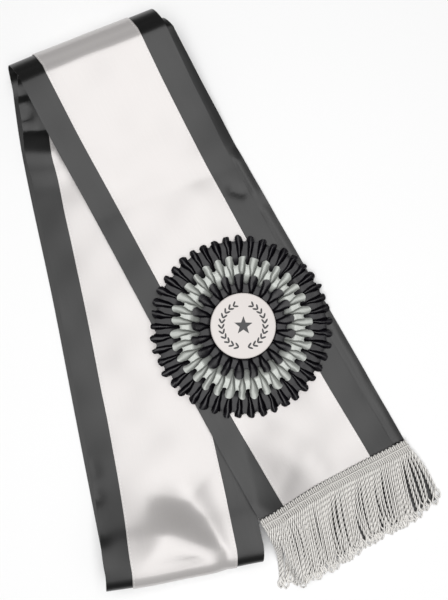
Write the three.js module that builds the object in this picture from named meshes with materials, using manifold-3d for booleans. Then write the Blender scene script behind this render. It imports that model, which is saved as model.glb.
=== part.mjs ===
// A pageant sash, folded in half twice and laid on a table: a charcoal satin backing ribbon with a
// white satin ribbon sewn down its middle, a bullion fringe on the end that lies on top, and a
// box-pleated rosette of three tiers round a plain disc.
// Millimetres. X runs to the right, Y away from the viewer, Z up; the table is Z = 0.

import * as THREE from 'three';
import manifoldModule from 'manifold-3d';

// Driving sizes of the cloth
const BACKING_WIDTH = 152;
const CENTRE_WIDTH = 100;
const PLY = 1; // wall of either ribbon
const SEAM_GAP = 0.3; // between the two ribbons, and between pieces that touch
const LIMB_GAP = 0.6; // between one limb of the folded sash and the next

// The guide surface is the middle of the backing ribbon's wall. The white ribbon's face stands this
// far from it.
const FACE = PLY / 2 + SEAM_GAP + PLY;

// Heights of the guide surface where the limbs lie flat: C lies face down on the table, D on it face
// up, B on that face down, and A on top face up. Right of D, the limbs B and A come down to the table.
const FLAT_C = FACE;
const FLAT_D = FLAT_C + PLY + LIMB_GAP;
const FLAT_B = FLAT_D + 2 * FACE + LIMB_GAP;
const A_ABOVE_B = PLY + LIMB_GAP;
const TABLE_B = FACE;
const DROP = FLAT_B - TABLE_B;

// The two folded ends. Each outer fold line is a point on it and the heading of its outward normal,
// in degrees from +Y towards +X. LOOP is how far the cloth takes to turn, measured from that line.
const TOP_FOLD = { x: -141.8, y: 267.6, normal: -22, loop: 22 };
const BOTTOM_FOLD = { x: -36, y: -271, normal: 170.4, loop: 18 };
const INNER_LOOP = 16;

// How far the loose folds lift each limb above its flat height, by distance from the fold line.
const TOP_RISE = [
  { from: 20, a: 33, b: 28.4, d: 9 },
  { from: 28, a: 32.4, b: 28.4, d: 9 },
  { from: 57, a: 26.5, b: 22.5, d: 8.5 },
  { from: 77, a: 21.5, b: 17.5, d: 7 },
  { from: 97, a: 17, b: 13.5, d: 2.6 },
  { from: 117, a: 12.6, b: 9.8, d: 0 },
  { from: 137, a: 7, b: 5.2, d: 0 },
  { from: 157, a: 2.2, b: 1.5, d: 0 },
  { from: 177, a: 0, b: 0, d: 0 },
];
const BOTTOM_RISE = [
  { from: 18, lift: 38 },
  { from: 30, lift: 35.5 },
  { from: 45, lift: 29.5 },
  { from: 60, lift: 22.5 },
  { from: 80, lift: 16 },
  { from: 100, lift: 10.5 },
  { from: 120, lift: 5.6 },
  { from: 140, lift: 1.8 },
  { from: 165, lift: 0 },
];
const RIGHT_EDGE_LIFT = 0.68; // share of the bottom lift that is left at D's right edge
const TILT_REACH = 130; // the lift falls off over this width

// D's right edge, where the limbs above it start to fall away
const D_EDGE = { x: -12, y: -12.2, heading: 12.2 };
const EDGE_MARGIN = 3;
const DROP_REACH = 90; // the flat stack's own height is lost over this distance
const BRIDGE_REACH = { a: 60, b: 40 }; // the bottom fold's lift is lost over these distances
const BRIDGE_BACK = 1.6; // a limb left D this much further up for each millimetre past the edge
const BRIDGE_FROM = 58; // A's corner leaves D this far inside the bottom fold
const BRIDGE_PART = 0.1; // a piece stands off the limb below it by this share of the bridged lift

// Middle lines of the limbs, in the order of the strip from the fringe to the plain end. Across is
// the direction of the line square over the ribbon there, in degrees from +X.
const LIMB_A = [
  { x: 109.6, y: -192.4, across: 26.3 },
  { x: 102.8, y: -181, across: 26.3 },
  { x: 45.7, y: -83.8, across: 26 },
  { x: -30.8, y: 56.1, across: 25 },
  { x: -95.8, y: 176.5, across: 23 },
  { x: -131.6, y: 247.5, across: 22 },
];
const LIMB_C = [
  { x: -147, y: 239.7, across: 22 },
  { x: -133.9, y: 161.3, across: 17 },
  { x: -101.1, y: 15.7, across: 12 },
  { x: -75.7, y: -106.7, across: 11 },
  { x: -45.5, y: -251.5, across: 9.6 },
];
const LIMB_D = [
  { x: -37, y: -250, across: 9.6 },
  { x: -47.6, y: -203, across: 10.5 },
  { x: -68.9, y: -111.3, across: 12 },
  { x: -94.4, y: 10.2, across: 12 },
  { x: -126.4, y: 155.1, across: 18 },
  { x: -138.3, y: 236.5, across: 22 },
];
const LIMB_B = [
  { x: -121.9, y: 243.5, across: 22 },
  { x: -88.3, y: 183.6, across: 24 },
  { x: 10, y: 9.5, across: 29 },
  { x: 149, y: -237.5, across: 29.4 },
];
const LIMB_STEPS = { a: 24, c: 7, d: 22, b: 21 };
const LOOP_STEPS = 8;

// Places across the ribbon, closer together on the left, where A and B bridge down from D
const BACKING_STATIONS = [-76, -63, -50, -33, -16, 0, 25, 50, 76];
const CENTRE_STATIONS = BACKING_STATIONS.filter((u) => Math.abs(u) <= CENTRE_WIDTH / 2);

// Fringe: a woven header tape with loose locks of bullion strands
const HEADER = {
  width: 13, thick: 2, overhang: 13, // overhang past A's right edge
};
const LOCKS = 16;
const LOCK = { thick: 2.6, gap: 0.9, root: 2, proud: 0.9, parted: 0.25 };
const LOCK_STATIONS = [0, 0.07, 0.2, 0.38, 0.58, 0.8, 1]; // shares of a lock's run
const TIPS = [ // where the strands end, from the left of the header to its right
  { along: 0, x: 56, y: -288 },
  { along: 0.17, x: 83.7, y: -279.3 },
  { along: 0.3, x: 101, y: -271.2 },
  { along: 0.45, x: 120.9, y: -260.8 },
  { along: 0.6, x: 142.3, y: -246.4 },
  { along: 0.78, x: 170.4, y: -232.1 },
  { along: 0.93, x: 194.6, y: -217.7 },
  { along: 1, x: 214, y: -202 },
];
const LEAVES_B = { from: -13, to: -6 }; // left of B's edge, where a lock comes down to the table

// Rosette, in its own frame: Z = 0 is the underside of its card. It leans to the right, as limb A does
// where it comes down from D.
const ROSETTE = { x: 17.6, y: -27.5, seat: 11.5, seatFrom: 5, slope: 0.065 };
const CARD = { radius: 62, thick: 1.5, hubRadius: 21, hubTop: 12.4 };
const DISC = { radius: 32.5, under: 12.7, rim: 3, crown: 4.4, x: 0.4, y: 0.6 };
const RUFFLE_WALL = 1;
const TIERS = [
  { name: 'rosette_outer_ruffle', pleats: 45, inner: 58, outer: 91, innerZ: 1.8, outerZ: 1,
    innerWave: 1.5, outerWave: 8, front: 10, colour: 0x26272a, x: 0, y: 0 },
  { name: 'rosette_middle_ruffle', pleats: 34, inner: 40, outer: 70, innerZ: 3, outerZ: 8.2,
    innerWave: 1.5, outerWave: 7, front: 8, colour: 0xb9bdb8, x: -0.2, y: -0.9 },
  { name: 'rosette_inner_ruffle', pleats: 21, inner: 24, outer: 52, innerZ: 3, outerZ: 12.8,
    innerWave: 1.2, outerWave: 6.5, front: 8.5, colour: 0x26272a, x: 0.2, y: 0 },
];
const BOX_CORNERS = [ // a box pleat, by share of its pitch: up on its front, down on the fold behind
  { at: 0.02, up: 0 }, { at: 0.16, up: 1 }, { at: 0.56, up: 1 }, { at: 0.7, up: 0 },
];

const radians = THREE.MathUtils.degToRad;
const mix = THREE.MathUtils.lerp;
const ease = (x) => THREE.MathUtils.smoothstep(x, 0, 1);

// Reads one column of a table by a smooth curve through its rows, flat past either end.
function read(rows, key, at, column) {
  const last = rows.length - 1;
  if (at <= rows[0][key]) return rows[0][column];
  if (at >= rows[last][key]) return rows[last][column];
  const i = rows.findIndex((row) => row[key] > at) - 1;
  const slope = (j) => {
    const before = rows[Math.max(j - 1, 0)];
    const after = rows[Math.min(j + 1, last)];
    return (after[column] - before[column]) / (after[key] - before[key]);
  };
  const step = rows[i + 1][key] - rows[i][key];
  const t = (at - rows[i][key]) / step;
  const bend = t * (1 - t) * step;
  const straight = mix(rows[i][column], rows[i + 1][column], t * t * (3 - 2 * t));
  return straight + bend * ((1 - t) * slope(i) - t * slope(i + 1));
}

// Distances on the table
function insideFold(fold, x, y) {
  const n = radians(fold.normal);
  return -((x - fold.x) * Math.sin(n) + (y - fold.y) * Math.cos(n));
}

function pastEdge(x, y) {
  const h = radians(D_EDGE.heading);
  return (x - D_EDGE.x) * Math.cos(h) + (y - D_EDGE.y) * Math.sin(h);
}

function insideB(x, y) {
  const end = LIMB_B.at(-1);
  const turn = radians(end.across);
  return (x - end.x) * Math.cos(turn) + (y - end.y) * Math.sin(turn) + BACKING_WIDTH / 2;
}

// Guide heights of the four limbs at a place on the table
function bottomLift(x, y, from) {
  const edge = Math.min(pastEdge(x, y), 0);
  const share = mix(1, RIGHT_EDGE_LIFT, ease(1 + edge / TILT_REACH));
  return share * read(BOTTOM_RISE, 'from', from, 'lift');
}

function bridge(x, y, limb) {
  const edge = Math.max(pastEdge(x, y) - EDGE_MARGIN, 0);
  const from = Math.max(insideFold(BOTTOM_FOLD, x, y) + BRIDGE_BACK * edge, BRIDGE_FROM);
  return bottomLift(x, y, from) * (1 - ease(edge / BRIDGE_REACH[limb]));
}

function drape(x, y) {
  const edge = Math.max(pastEdge(x, y) - EDGE_MARGIN, 0);
  return TABLE_B + DROP * (1 - ease(edge / DROP_REACH));
}

function topLift(x, y, column) {
  return read(TOP_RISE, 'from', insideFold(TOP_FOLD, x, y), column);
}

const height = {
  c: () => FLAT_C,
  d: (x, y) => {
    const lift = bottomLift(x, y, insideFold(BOTTOM_FOLD, x, y));
    return FLAT_D + lift + topLift(x, y, 'd');
  },
  b: (x, y) => drape(x, y) + bridge(x, y, 'b') + topLift(x, y, 'b'),
  a: (x, y) => {
    const lift = (1 + BRIDGE_PART) * bridge(x, y, 'a') + topLift(x, y, 'a');
    return drape(x, y) + A_ABOVE_B + lift;
  },
};

// The height of a surface that stands off a limb by a distance square to it
function standOff(limb, x, y, distance) {
  const here = height[limb](x, y);
  const slope = Math.hypot(height[limb](x + 1, y) - here, height[limb](x, y + 1) - here);
  return here + distance * Math.hypot(1, slope);
}

// One limb as sections, each a middle point and a vector half way across the ribbon
function limbSections(rows, steps, limb) {
  const route = [];
  rows.forEach((row, i) => {
    const before = route[i - 1];
    const gone = before ? Math.hypot(row.x - before.x, row.y - before.y) : 0;
    route.push({ ...row, along: before ? before.along + gone : 0 });
  });
  const length = route[route.length - 1].along;
  const place = (s) => new THREE.Vector2(read(route, 'along', s, 'x'), read(route, 'along', s, 'y'));
  const sections = [];
  for (let i = 0; i <= steps; i += 1) {
    // The first step from the fringe end is the header's width.
    const start = limb === 'a' ? HEADER.width + SEAM_GAP : length / steps;
    const s = i === 0 ? 0 : start + ((length - start) * (i - 1)) / (steps - 1);
    const middle = place(s);
    const heading = place(Math.min(s + 1, length)).sub(place(Math.max(s - 1, 0)));
    const turn = radians(read(route, 'along', s, 'across'));
    const across = new THREE.Vector2(Math.cos(turn), Math.sin(turn));
    const square = Math.abs(across.cross(heading.normalize())); // below 1 on a slanted line
    sections.push({ middle, across: across.multiplyScalar(1 / square), limb });
  }
  return sections;
}

function sectionPoint(section, u) {
  const x = section.middle.x + u * section.across.x;
  const y = section.middle.y + u * section.across.y;
  return new THREE.Vector3(x, y, height[section.limb](x, y));
}

// A folded end: half an ellipse from one limb's last section to the next limb's first one
function loopRows(from, to, fold, depth, stations) {
  const n = radians(fold.normal);
  const outward = new THREE.Vector3(Math.sin(n), Math.cos(n), 0);
  const rows = [];
  for (let i = 1; i < LOOP_STEPS; i += 1) {
    const turn = (Math.PI * i) / LOOP_STEPS;
    const share = i / LOOP_STEPS;
    rows.push(stations.map((u) => {
      const start = sectionPoint(from, u);
      const end = sectionPoint(to, u);
      const point = start.clone().lerp(end, share);
      point.z = mix(start.z, end.z, (1 - Math.cos(turn)) / 2);
      return point.addScaledVector(outward, depth * Math.sin(turn));
    }));
  }
  return rows;
}

// The whole guide surface, from the fringe end of A to the plain end of B
function guideRows(stations) {
  const a = limbSections(LIMB_A, LIMB_STEPS.a, 'a');
  const c = limbSections(LIMB_C, LIMB_STEPS.c, 'c');
  const d = limbSections(LIMB_D, LIMB_STEPS.d, 'd');
  const b = limbSections(LIMB_B, LIMB_STEPS.b, 'b');
  const row = (section) => stations.map((u) => sectionPoint(section, u));
  return [
    ...a.map(row),
    ...loopRows(a.at(-1), c[0], TOP_FOLD, TOP_FOLD.loop, stations),
    ...c.map(row),
    ...loopRows(c.at(-1), d[0], BOTTOM_FOLD, BOTTOM_FOLD.loop, stations),
    ...d.map(row),
    ...loopRows(d.at(-1), b[0], TOP_FOLD, INNER_LOOP, stations),
    ...b.map(row),
  ];
}

// Face normals of a grid of points, by the steps to its neighbours
function gridNormals(rows) {
  const last = rows.length - 1;
  return rows.map((row, i) => row.map((_, j) => {
    const along = rows[Math.min(i + 1, last)][j].clone().sub(rows[Math.max(i - 1, 0)][j]);
    const across = row[Math.min(j + 1, row.length - 1)].clone().sub(row[Math.max(j - 1, 0)]);
    return across.cross(along).normalize();
  }));
}

// A closed wall between two copies of a grid, from one offset along its normals to another
function wallGeometry(rows, normals, low, high) {
  const count = rows.length;
  const width = rows[0].length;
  const positions = [];
  for (const offset of [low, high]) {
    rows.forEach((row, i) => row.forEach((point, j) => {
      positions.push(...point.clone().addScaledVector(normals[i][j], offset).toArray());
    }));
  }
  const under = (i, j) => i * width + j;
  const over = (i, j) => count * width + i * width + j;
  const index = [];
  const quad = (p, q, r, s) => index.push(p, q, r, p, r, s);
  for (let i = 0; i < count - 1; i += 1) {
    for (let j = 0; j < width - 1; j += 1) {
      quad(over(i, j), over(i, j + 1), over(i + 1, j + 1), over(i + 1, j));
      quad(under(i, j), under(i + 1, j), under(i + 1, j + 1), under(i, j + 1));
    }
    const e = width - 1;
    quad(under(i, 0), over(i, 0), over(i + 1, 0), under(i + 1, 0));
    quad(under(i, e), under(i + 1, e), over(i + 1, e), over(i, e));
  }
  for (let j = 0; j < width - 1; j += 1) {
    const e = count - 1;
    quad(under(0, j), under(0, j + 1), over(0, j + 1), over(0, j));
    quad(under(e, j), over(e, j), over(e, j + 1), under(e, j + 1));
  }
  const geometry = new THREE.BufferGeometry();
  geometry.setAttribute('position', new THREE.Float32BufferAttribute(positions, 3));
  geometry.setIndex(index);
  geometry.computeVertexNormals();
  return geometry;
}

// The white ribbon starts at the header's upper edge, so it takes the guide without its first row.
function ribbonGeometry(stations, low, high, skippedRows) {
  const rows = guideRows(stations);
  const normals = gridNormals(rows);
  return wallGeometry(rows.slice(skippedRows), normals.slice(skippedRows), low, high);
}

// Manifold helpers for the fringe
const { Manifold, Mesh: ManifoldMesh } = await manifoldModule().then((library) => {
  library.setup();
  return library;
});

function toManifold(geometry) {
  return new Manifold(new ManifoldMesh({
    numProp: 3,
    vertProperties: new Float32Array(geometry.attributes.position.array),
    triVerts: new Uint32Array(geometry.index.array),
  }));
}

function fromManifold(solid) {
  const mesh = solid.getMesh();
  const geometry = new THREE.BufferGeometry();
  geometry.setAttribute('position', new THREE.BufferAttribute(mesh.vertProperties, 3));
  geometry.setIndex(new THREE.BufferAttribute(mesh.triVerts, 1));
  geometry.computeVertexNormals();
  return geometry;
}

// A flat strip with a thickness: rows of points along its run, two points in each
function stripGeometry(rows, thick) {
  return wallGeometry(rows, gridNormals(rows), -thick / 2, thick / 2);
}

function headerFrame() {
  const a = limbSections(LIMB_A, LIMB_STEPS.a, 'a');
  const down = a[0].middle.clone().sub(a[1].middle).normalize();
  const corner = a[0].middle.clone().addScaledVector(a[0].across, -BACKING_WIDTH / 2);
  const span = a[0].across.clone().multiplyScalar(BACKING_WIDTH + HEADER.overhang);
  return { down, corner, span };
}

function headerPoint(frame, along, drop) {
  const p = frame.corner.clone().addScaledVector(frame.span, along).addScaledVector(frame.down, drop);
  const lift = PLY / 2 + SEAM_GAP + HEADER.thick / 2;
  return new THREE.Vector3(p.x, p.y, standOff('a', p.x, p.y, lift));
}

function lockPoint(frame, along, t) {
  const root = headerPoint(frame, along, -LOCK.root);
  const tip = new THREE.Vector3(read(TIPS, 'along', along, 'x'), read(TIPS, 'along', along, 'y'), 0);
  return { root, point: root.clone().lerp(tip, t) };
}

function lockRows(frame, centre) {
  const half = (0.5 * (1 - (LOCK.gap * LOCKS) / frame.span.length())) / LOCKS;
  const rows = [];
  for (const t of LOCK_STATIONS) {
    const middle = lockPoint(frame, centre, t).point;
    const inside = insideB(middle.x, middle.y);
    const over = (inside - LEAVES_B.from) / (LEAVES_B.to - LEAVES_B.from);
    rows.push([1, -1].map((side) => {
      const along = centre + side * half * (1 - 0.35 * t * t * t * t);
      const { root, point } = lockPoint(frame, along, t);
      const parted = LOCK.parted * bridge(point.x, point.y, 'a');
      const clear = PLY / 2 + SEAM_GAP + LOCK.thick / 2 + parted;
      const onB = standOff('b', point.x, point.y, clear);
      const rest = mix(LOCK.thick / 2, onB, ease(over));
      const above = root.z + LOCK.proud;
      point.z = mix(above, rest, ease((t - LOCK_STATIONS[1]) * 1.6));
      return point;
    }));
  }
  return rows;
}

function fringeGeometry() {
  const frame = headerFrame();
  const length = BACKING_WIDTH + HEADER.overhang;
  const header = [...BACKING_STATIONS, BACKING_WIDTH / 2 + HEADER.overhang].map((u) => {
    const along = (u + BACKING_WIDTH / 2) / length;
    return [headerPoint(frame, along, 0), headerPoint(frame, along, -HEADER.width)];
  });
  let fringe = toManifold(stripGeometry(header, HEADER.thick));
  for (let i = 0; i < LOCKS; i += 1) {
    const rows = lockRows(frame, (i + 0.5) / LOCKS);
    fringe = fringe.add(toManifold(stripGeometry(rows, LOCK.thick)));
  }
  return fromManifold(fringe);
}

// A tier of box pleats: a ring whose wall goes up over each box and down between two
function ruffleGeometry(tier) {
  const rows = [];
  for (let pleat = 0; pleat < tier.pleats; pleat += 1) {
    for (const corner of BOX_CORNERS) {
      const angle = (2 * Math.PI * (pleat + corner.at)) / tier.pleats;
      const outer = tier.outer - tier.front * corner.up; // a front stops short of the folds
      rows.push([
        { r: tier.inner, z: tier.innerZ + tier.innerWave * corner.up },
        { r: outer, z: tier.outerZ + tier.outerWave * corner.up },
        { r: outer, z: tier.outerZ + tier.outerWave * corner.up + RUFFLE_WALL },
        { r: tier.inner, z: tier.innerZ + tier.innerWave * corner.up + RUFFLE_WALL },
      ].map((p) => [tier.x + p.r * Math.cos(angle), tier.y + p.r * Math.sin(angle), p.z]));
    }
  }
  const index = [];
  rows.forEach((_, i) => {
    const next = (i + 1) % rows.length;
    // The top is split along the same diagonals as the underside, so the wall keeps its thickness.
    for (let j = 0; j < 4; j += 1) {
      const [here, there] = [4 * i, 4 * next];
      const k = (j + 1) % 4;
      if (j === 2) index.push(here + j, there + j, here + k, there + j, there + k, here + k);
      else index.push(here + j, there + k, here + k, here + j, there + j, there + k);
    }
  });
  const geometry = new THREE.BufferGeometry();
  geometry.setAttribute('position', new THREE.Float32BufferAttribute(rows.flat(2), 3));
  geometry.setIndex(index);
  geometry.computeVertexNormals();
  return geometry;
}

// A turned piece about Z from (radius, height) pairs that start and end on the axis
function turned(profile, sides) {
  const points = profile.map(([r, z]) => new THREE.Vector2(r, z));
  return new THREE.LatheGeometry(points, sides).rotateX(Math.PI / 2);
}

function cardGeometry() {
  return turned([
    [0, 0], [CARD.radius, 0], [CARD.radius, CARD.thick], [CARD.hubRadius, CARD.thick],
    [CARD.hubRadius, CARD.hubTop], [0, CARD.hubTop],
  ], 40);
}

function discGeometry() {
  const { radius, under, rim, crown } = DISC;
  const bevel = 0.8;
  return turned([
    [0, under], [radius - bevel, under], [radius, under + bevel], [radius, under + rim - bevel],
    [radius - bevel, under + rim], [radius * 0.55, under + crown - 0.4], [0, under + crown],
  ], 40).translate(DISC.x, DISC.y, 0);
}

function satin(colour) {
  return new THREE.MeshStandardMaterial({ color: colour, roughness: 0.42, metalness: 0 });
}

function piece(name, geometry, material) {
  const mesh = new THREE.Mesh(geometry, material);
  mesh.name = name;
  return mesh;
}

function rosette() {
  const group = new THREE.Group();
  const board = new THREE.MeshStandardMaterial({ color: 0x4a4a48, roughness: 0.9 });
  const paper = new THREE.MeshStandardMaterial({ color: 0xeee8e4, roughness: 0.45 });
  group.add(piece('rosette_card', cardGeometry(), board));
  for (const tier of TIERS) group.add(piece(tier.name, ruffleGeometry(tier), satin(tier.colour)));
  group.add(piece('rosette_disc', discGeometry(), paper));
  // The card's plane touches limb A just past D's right edge and leans away from it.
  const h = radians(D_EDGE.heading);
  const axis = new THREE.Vector3(-Math.sin(h), Math.cos(h), 0);
  const past = pastEdge(ROSETTE.x, ROSETTE.y) - ROSETTE.seatFrom;
  group.quaternion.setFromAxisAngle(axis, Math.atan(ROSETTE.slope));
  group.position.set(ROSETTE.x, ROSETTE.y, ROSETTE.seat - ROSETTE.slope * past);
  return group;
}

const sash = new THREE.Group();
const backing = ribbonGeometry(BACKING_STATIONS, -PLY / 2, PLY / 2, 0);
const centre = ribbonGeometry(CENTRE_STATIONS, PLY / 2 + SEAM_GAP, FACE, 1);
sash.add(piece('backing_ribbon', backing, satin(0x5a5a58)));
sash.add(piece('centre_ribbon', centre, satin(0xeee9e6)));
const silver = new THREE.MeshStandardMaterial({ color: 0xc8c6c0, roughness: 0.6 });
sash.add(piece('bullion_fringe', fringeGeometry(), silver));
sash.add(rosette());

// The origin is the middle of the sash's underside.
sash.updateMatrixWorld(true);
const box = new THREE.Box3().setFromObject(sash, true);
const middle = box.getCenter(new THREE.Vector3());
sash.position.set(-middle.x, -middle.y, -box.min.z);

const whole = new THREE.Group();
whole.add(sash);

export default whole;
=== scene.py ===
# %% [markdown]
# # A pageant sash with a rosette, dressed piece by piece
#
# The object is a satin sash, folded in half twice and laid on a table. A charcoal ribbon carries a
# narrower white ribbon along its middle, a bullion fringe closes the end that lies on top, and a
# rosette of three pleated tiers is pinned where the two ends meet. The solids from the CAD step are
# the frame: they give every size and place, and each cell below makes the cloth, thread or card that
# takes a solid's place or gives it a finish.

# %% The frame
import math
import random

import bpy
import numpy as np
from mathutils import Matrix, Vector


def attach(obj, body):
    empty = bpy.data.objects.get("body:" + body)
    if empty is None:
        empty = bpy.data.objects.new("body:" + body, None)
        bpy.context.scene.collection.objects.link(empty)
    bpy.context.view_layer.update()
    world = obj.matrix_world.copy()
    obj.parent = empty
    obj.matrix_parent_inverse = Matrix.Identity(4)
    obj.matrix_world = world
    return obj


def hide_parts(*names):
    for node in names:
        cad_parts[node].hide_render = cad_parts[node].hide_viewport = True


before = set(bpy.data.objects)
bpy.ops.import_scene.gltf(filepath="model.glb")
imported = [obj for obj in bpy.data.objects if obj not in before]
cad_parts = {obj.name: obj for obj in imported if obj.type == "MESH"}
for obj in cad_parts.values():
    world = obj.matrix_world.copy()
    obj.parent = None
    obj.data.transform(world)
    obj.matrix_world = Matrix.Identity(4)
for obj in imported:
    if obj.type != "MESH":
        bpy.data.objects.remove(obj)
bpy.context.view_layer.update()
MM = 0.001
SHIFT = np.array([2.85, -2.99, 0.0])  # from the middle of the photograph to the sash's own origin
print("CAD nodes:", sorted(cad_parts))

# %% [markdown]
# ## The camera
# The picture was taken by hand from straight above, tipped back by three degrees. The camera comes
# first, because everything that follows is judged through it. It looks at the point of the table
# that the middle of the photograph shows, from 640 mm away.

# %% The camera
VIEW_DISTANCE = 640
VIEW_TILT = math.radians(3)  # from straight down
LONG_SIDE_PIXELS = 600
FOCAL_PIXELS = 622.7
SENSOR = 36


def in_scene(name, data):
    """A new object with this data, in the scene at the origin."""
    made = bpy.data.objects.new(name, data)
    bpy.context.collection.objects.link(made)
    return made


lens = bpy.data.cameras.new("camera")
lens.sensor_width = SENSOR
lens.lens = SENSOR * FOCAL_PIXELS / LONG_SIDE_PIXELS
camera = in_scene("camera", lens)
aim = Vector(SHIFT) * MM
back = Vector((0, -math.sin(VIEW_TILT), math.cos(VIEW_TILT)))
camera.location = aim + back * VIEW_DISTANCE * MM
camera.rotation_euler = (VIEW_TILT, 0, 0)
bpy.context.scene.camera = camera
print("camera at", [round(v, 3) for v in camera.location], "lens", round(lens.lens, 1))

# %% [markdown]
# ## The table and the light
# Satin is a mirror for broad shapes of light. One wide soft box overhead makes flat cloth bright and
# lets every slope that turns away from it fall dark, which is how the folds in this sash read. A
# weak grey surround keeps the sides from going black.

# %% The table and the light
FLOOR_SIDE = 12
SOFT_BOX = {"height": 1.9, "across": 1.75, "along": 2.35, "x": 0.03, "y": -0.18, "radiance": 3.35}
SKY = {"overhead": 0.3, "level": 0.14, "dim_below": 0.5, "bright_above": 0.9}


def linear(hex_colour):
    """An sRGB hex colour as linear light with an alpha of 1."""
    parts = [int(hex_colour[i : i + 2], 16) / 255 for i in (0, 2, 4)]
    return [c / 12.92 if c <= 0.04045 else ((c + 0.055) / 1.055) ** 2.4 for c in parts] + [1]


def add(tree, kind, inputs=(), **settings):
    """Adds a node, sets its settings, and fills its inputs from sockets or with constants.

    A node given as a source stands for its first output.
    """
    node = tree.nodes.new(kind)
    for name, value in settings.items():
        setattr(node, name, value)
    for socket, source in dict(inputs).items():
        if isinstance(source, bpy.types.Node):
            source = source.outputs[0]
        if isinstance(source, bpy.types.NodeSocket):
            tree.links.new(source, node.inputs[socket])
        else:
            node.inputs[socket].default_value = source
    return node


def material(name, constants):
    """A new material with its node tree and its Principled shader, some inputs set to constants."""
    made = bpy.data.materials.new(name)
    made.use_nodes = True
    shader = made.node_tree.nodes["Principled BSDF"]
    for socket, value in constants.items():
        shader.inputs[socket].default_value = value
    return made, made.node_tree, shader


def mesh_object(name, points, faces, finish=None):
    """A smooth-shaded mesh object at the origin from points in metres."""
    mesh = bpy.data.meshes.new(name)
    mesh.from_pydata([tuple(p) for p in points], [], faces)
    mesh.shade_smooth()
    if finish:
        mesh.materials.append(finish)
    return in_scene(name, mesh)


half = FLOOR_SIDE / 2
corners = [(-half, -half, 0), (half, -half, 0), (half, half, 0), (-half, half, 0)]
table_paint, _, _ = material("matt_white_table", {
    "Base Color": linear("f6f6f6"), "Roughness": 0.9, "Specular IOR Level": 0.1})
mesh_object("table", corners, [(0, 1, 2, 3)], table_paint)

box_light = bpy.data.lights.new("soft_box", "AREA")
box_light.shape = "RECTANGLE"
box_light.size, box_light.size_y = SOFT_BOX["across"], SOFT_BOX["along"]
box_light.energy = math.pi * SOFT_BOX["radiance"] * SOFT_BOX["across"] * SOFT_BOX["along"]
soft_box = in_scene("soft_box", box_light)
soft_box.location = (SOFT_BOX["x"], SOFT_BOX["y"], SOFT_BOX["height"])

world = bpy.data.worlds.new("studio")
world.use_nodes = True
sky = world.node_tree
direction = add(sky, "ShaderNodeTexCoord")
axes = add(sky, "ShaderNodeSeparateXYZ", {"Vector": direction})
glow = add(sky, "ShaderNodeMapRange", {
    "Value": axes.outputs["Z"], "From Min": SKY["dim_below"], "From Max": SKY["bright_above"],
    "To Min": SKY["level"], "To Max": SKY["overhead"]}, interpolation_type="SMOOTHSTEP")
sky.links.new(glow.outputs["Result"], sky.nodes["Background"].inputs["Strength"])
sky.nodes["Background"].inputs["Color"].default_value = (1, 1, 1, 1)
bpy.context.scene.world = world
bpy.context.scene.view_settings.view_transform = "Standard"
print("lit by one soft box", SOFT_BOX)

# %% [markdown]
# ## Where the cloth runs
# The sash is one long strip that runs from the fringe up to the top fold, back underneath to the
# bottom fold, up again, and down to its plain end: four limbs called A, C, D and B. Each limb has a
# middle line on the table and a height at every place, so the whole strip is one smooth surface.
# A cloth simulation would settle it too, but the folds of a real sash carry creases from its box, so
# the surface is drawn by rule and the creases are laid on it. The tables repeat the CAD's own, but
# limb A comes down from limb D more gently here, as its cloth does.

# %% Where the cloth runs
BACKING_WIDTH = 152
CENTRE_WIDTH = 100
PLY = 1  # the CAD's wall for either ribbon
SEAM_GAP = 0.3
LIMB_GAP = 0.6
FACE = PLY / 2 + SEAM_GAP + PLY
FLAT_C = FACE
FLAT_D = FLAT_C + PLY + LIMB_GAP
FLAT_B = FLAT_D + 2 * FACE + LIMB_GAP
A_ABOVE_B = PLY + LIMB_GAP
TABLE_B = FACE

TOP_FOLD = {"x": -141.8, "y": 267.6, "normal": -22, "loop": 22, "square": 1.8}
BOTTOM_FOLD = {"x": -36, "y": -271, "normal": 170.4, "loop": 18, "square": 3.5}
INNER_LOOP = 16
# distance inside the top fold, and the lift of A, B and D there
TOP_RISE = [
    (20, 33, 28.4, 9), (28, 32.4, 28.4, 9), (57, 26.5, 22.5, 8.5), (77, 21.5, 17.5, 7),
    (97, 17, 13.5, 2.6), (117, 12.6, 9.8, 0), (137, 7, 5.2, 0), (157, 2.2, 1.5, 0), (177, 0, 0, 0),
]
# distance inside the bottom fold, and the lift of D there
BOTTOM_RISE = [
    (18, 38), (30, 35.5), (45, 29.5), (60, 22.5), (80, 16), (100, 10.5), (120, 5.6), (140, 1.8),
    (165, 0),
]
RIGHT_EDGE_LIFT, TILT_REACH = 0.68, 130
D_EDGE = {"x": -12, "y": -12.2, "heading": 12.2}
EDGE_MARGIN, DROP_REACH = 3, 90
BRIDGE_REACH = {"a": 105, "b": 40}
BRIDGE_STRAIGHT = 0.25  # how much of its fall is an even slope
BRIDGE_BACK, BRIDGE_FROM, BRIDGE_PART = 0.8, 58, 0.1
PRESSED = {"from": 30, "slope": 0.4}  # a pressed line short of the top fold, where A starts to turn
# middle points of each limb, with the direction square over the ribbon in degrees from +X
LIMBS = {
    "a": [(109.6, -192.4, 26.3), (102.8, -181, 26.3), (45.7, -83.8, 26), (-30.8, 56.1, 25),
          (-95.8, 176.5, 23), (-131.6, 247.5, 22)],
    "c": [(-147, 239.7, 22), (-133.9, 161.3, 17), (-101.1, 15.7, 12), (-75.7, -106.7, 11),
          (-45.5, -251.5, 9.6)],
    "d": [(-37, -250, 9.6), (-47.6, -203, 10.5), (-68.9, -111.3, 12), (-94.4, 10.2, 12),
          (-126.4, 155.1, 18), (-138.3, 236.5, 22)],
    "b": [(-121.9, 243.5, 22), (-88.3, 183.6, 24), (10, 9.5, 29), (149, -237.5, 29.4)],
}


def ease(x):
    x = np.clip(x, 0, 1)
    return x * x * (3 - 2 * x)


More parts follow.
